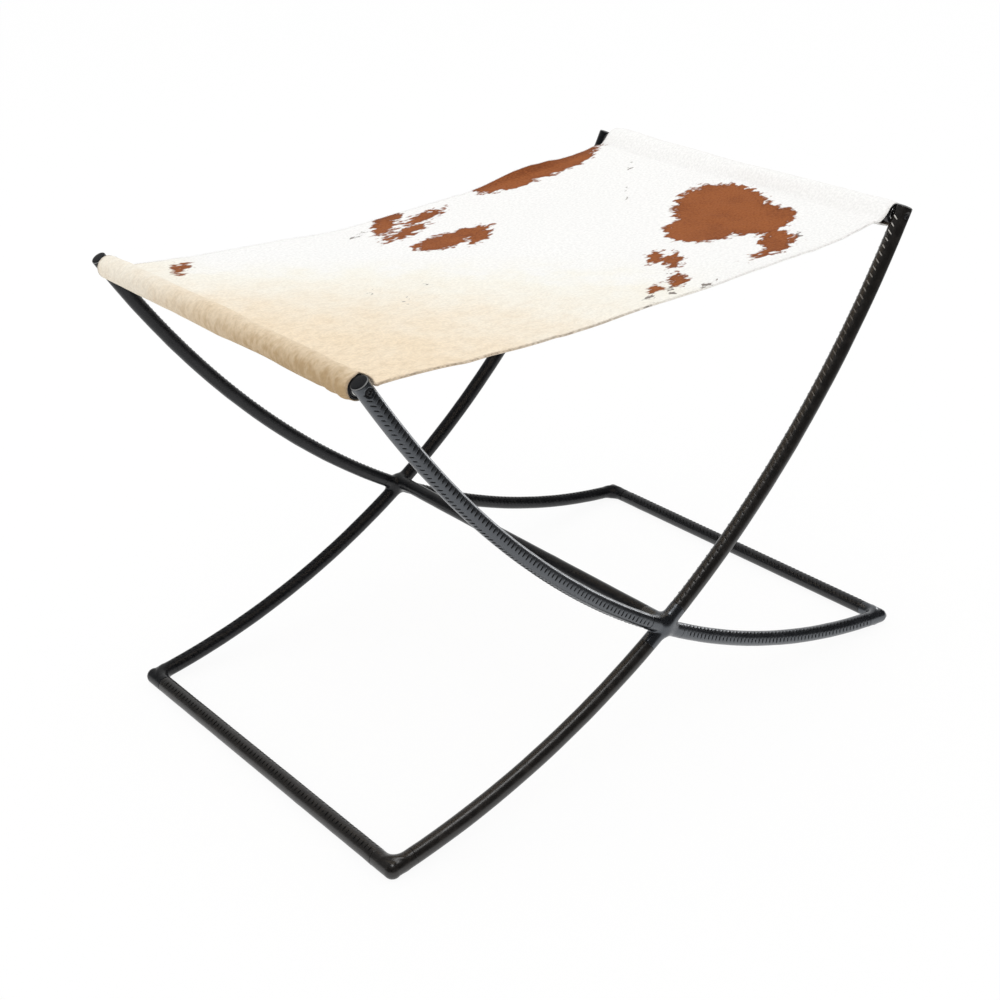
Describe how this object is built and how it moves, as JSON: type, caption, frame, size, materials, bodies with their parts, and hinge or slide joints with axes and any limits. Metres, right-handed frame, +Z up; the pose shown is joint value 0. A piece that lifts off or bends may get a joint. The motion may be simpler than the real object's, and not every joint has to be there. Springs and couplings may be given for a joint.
{
  "type": "sled bench",
  "caption": "Low sled bench with a hide sling seat hung between two rails on crossed side frames of bent steel rod, wrapped in black leather and joined by floor rails.",
  "frame": {"origin": "on the floor under the middle of the bench", "axes": "+X from the left seat rail to the right one, +Y along the rails to the far side, +Z up"},
  "size_m": [0.654, 0.437, 0.4621],
  "materials": {
    "rod_steel": "bare steel, hidden under leather",
    "bright_steel": "zinc-bright washer",
    "black_oxide": "black oxide, satin",
    "black_paint": "black paint, satin",
    "black_leather": "smooth black saddle leather, hand-stitched, semi-gloss",
    "hide": "short-haired cowhide, white and cream with red-brown patches"
  },
  "bodies": {
    "root": {"near_left_leg_rod": "rod_steel", "near_right_leg_lower_rod": "rod_steel", "near_right_leg_upper_rod": "rod_steel", "near_left_leg_lower_wrap": "black_leather", "near_left_leg_upper_wrap": "black_leather", "near_left_leg_cap": "black_leather", "near_left_corner_wrap": "black_leather", "near_left_rail_plug": "rod_steel", "near_left_washer": "bright_steel", "near_left_screw": "black_oxide", "near_right_leg_lower_wrap": "black_leather", "near_right_leg_upper_wrap": "black_leather", "near_right_leg_cap": "black_leather", "near_right_corner_wrap": "black_leather", "near_right_rail_plug": "rod_steel", "near_right_washer": "bright_steel", "near_right_screw": "black_oxide", "near_crossing_wrap": "black_leather", "far_left_leg_rod": "rod_steel", "far_right_leg_lower_rod": "rod_steel", "far_right_leg_upper_rod": "rod_steel", "far_left_leg_lower_wrap": "black_leather", "far_left_leg_upper_wrap": "black_leather", "far_left_leg_cap": "black_leather", "far_left_corner_wrap": "black_leather", "far_left_rail_plug": "rod_steel", "far_left_washer": "bright_steel", "far_left_screw": "black_oxide", "far_right_leg_lower_wrap": "black_leather", "far_right_leg_upper_wrap": "black_leather", "far_right_leg_cap": "black_leather", "far_right_corner_wrap": "black_leather", "far_right_rail_plug": "rod_steel", "far_right_washer": "bright_steel", "far_right_screw": "black_oxide", "far_crossing_wrap": "black_leather", "left_floor_rod": "rod_steel", "left_floor_wrap": "black_leather", "left_seat_rail": "black_paint", "right_floor_rod": "rod_steel", "right_floor_wrap": "black_leather", "right_seat_rail": "black_paint", "stretcher_rod": "rod_steel", "stretcher_wrap": "black_leather", "seat_hide": "hide"}
  },
  "joints": []
}
